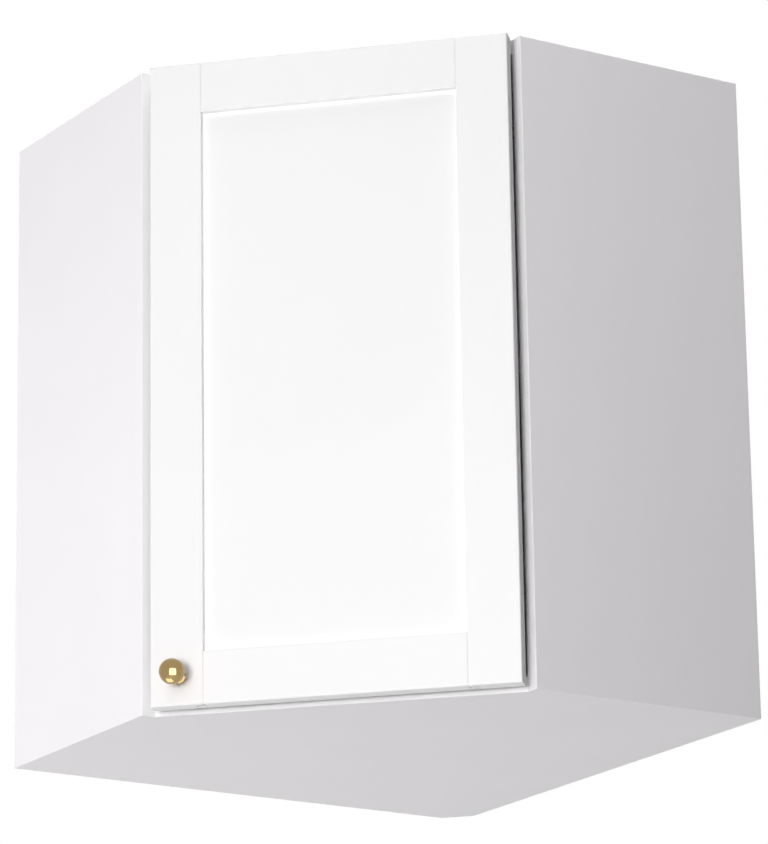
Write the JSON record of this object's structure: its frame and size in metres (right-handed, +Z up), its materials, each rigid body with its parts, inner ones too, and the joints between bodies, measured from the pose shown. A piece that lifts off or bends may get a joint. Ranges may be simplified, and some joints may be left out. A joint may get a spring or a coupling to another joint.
{
  "type": "corner wall cabinet",
  "caption": "Five-sided kitchen wall cabinet for a room corner, with a diagonal framed door on concealed hinges, a ball knob, a shelf and hooks for wall plates.",
  "frame": {"origin": "corner of the room where the two walls meet, at the height of the cabinet's underside", "axes": "+Z up; the left wall is the plane X = 0 and the right wall the plane Y = 0; the door faces along +X -Y"},
  "size_m": [0.5912, 0.5985, 0.72],
  "materials": {
    "white_board": "white melamine-faced chipboard, satin",
    "white_lacquer": "white satin lacquer on board",
    "white_hardboard": "thin white-faced hardboard",
    "white_edging": "white plastic edging",
    "beech": "bare beech",
    "white_plastic": "moulded, fine satin",
    "steel": "nickel-plated steel",
    "polished_brass": "polished"
  },
  "bodies": {
    "carcass": {"bottom_cam_bolts": "steel", "bottom_cam_locks": "steel", "bottom_dowels": "beech", "bottom_edge_strip": "white_edging", "bottom_panel": "white_board", "corner_post": "white_board", "corner_post_dowels": "beech", "hinge_arm_screws": "steel", "hinge_plate_screws": "steel", "left_back_panel": "white_hardboard", "left_edge_strip": "white_edging", "left_hanger_adjusters": "steel", "left_hanger_cover": "white_plastic", "left_hanger_hook": "steel", "left_hanger_housing": "white_plastic", "left_hanger_screws": "steel", "left_side_panel": "white_board", "left_wall_plate": "steel", "lower_hinge_arm": "steel", "lower_hinge_arm_pin": "steel", "lower_hinge_plate": "steel", "right_back_panel": "white_hardboard", "right_edge_strip": "white_edging", "right_hanger_adjusters": "steel", "right_hanger_cover": "white_plastic", "right_hanger_hook": "steel", "right_hanger_housing": "white_plastic", "right_hanger_screws": "steel", "right_side_panel": "white_board", "right_wall_plate": "steel", "shelf": "white_board", "shelf_edge_strip": "white_edging", "shelf_pins": "steel", "top_cam_bolts": "steel", "top_cam_locks": "steel", "top_dowels": "beech", "top_edge_strip": "white_edging", "top_panel": "white_board", "upper_hinge_arm": "steel", "upper_hinge_arm_pin": "steel", "upper_hinge_plate": "steel"},
    "hinge_links": {"lower_hinge_link": "steel", "upper_hinge_link": "steel"},
    "door": {"door_bottom_rail": "white_lacquer", "door_knob": "polished_brass", "door_knob_screw": "steel", "door_left_stile": "white_lacquer", "door_panel": "white_lacquer", "door_right_stile": "white_lacquer", "door_top_rail": "white_lacquer", "hinge_cup_screws": "steel", "lower_hinge_cup": "steel", "upper_hinge_cup": "steel", "lower_hinge_cup_pin": "steel", "upper_hinge_cup_pin": "steel"}
  },
  "joints": [
    {"name": "hinge_link_swing", "type": "hinge", "parent": "carcass", "child": "hinge_links", "pos_m": [0.55523, -0.31437, 0.36], "axis": [0, 0, -1], "range_deg": [0, 27]},
    {"name": "door_swing", "type": "hinge", "parent": "hinge_links", "child": "door", "pos_m": [0.57545, -0.30517, 0.36], "axis": [0, 0, 1], "range_deg": [0, 122]}
  ],
  "couplings": [
    {"joint": "hinge_link_swing", "follows": "door_swing", "ratio": 0.2213}
  ]
}
